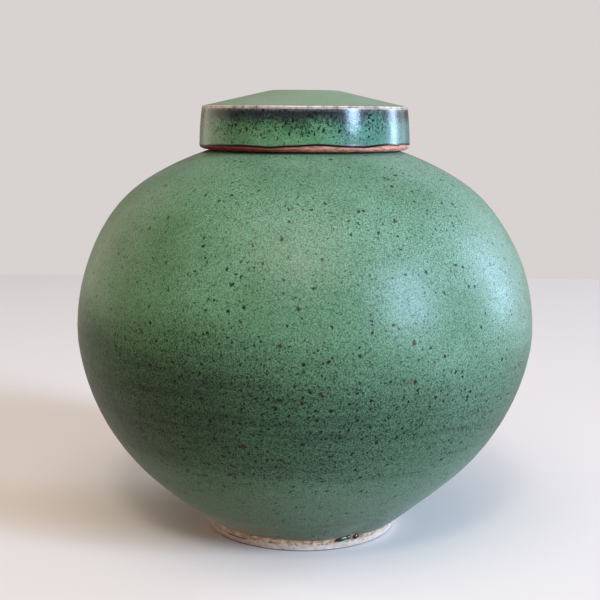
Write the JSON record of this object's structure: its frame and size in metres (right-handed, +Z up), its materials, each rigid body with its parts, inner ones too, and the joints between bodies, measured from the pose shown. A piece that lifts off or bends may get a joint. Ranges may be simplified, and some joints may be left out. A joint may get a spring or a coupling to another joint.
{
  "type": "ginger jar",
  "caption": "Round glazed stoneware jar on a low turned foot, with a cap lid that drops over a plain collar round its mouth.",
  "frame": {"origin": "centre of the ring that the foot stands on", "axes": "+Z up along the jar's axis, -Y towards the side that was pictured"},
  "size_m": [0.2206, 0.2206, 0.214],
  "materials": {
    "jar_glaze": "satin-matte copper-green glaze with dark and rust-brown iron specks, over unglazed pale stoneware at the foot",
    "lid_glaze": "semi-gloss copper-green glaze breaking to charcoal under a pale rim edge, over unglazed red-brown stoneware at the skirt's lower edge"
  },
  "bodies": {
    "jar": {"jar_body": "jar_glaze"},
    "lid": {"lid": "lid_glaze"}
  },
  "joints": [
    {"name": "lid_lift", "type": "slide", "parent": "jar", "child": "lid", "axis": [0, 0, 1], "range_m": [0, 0.15]}
  ]
}
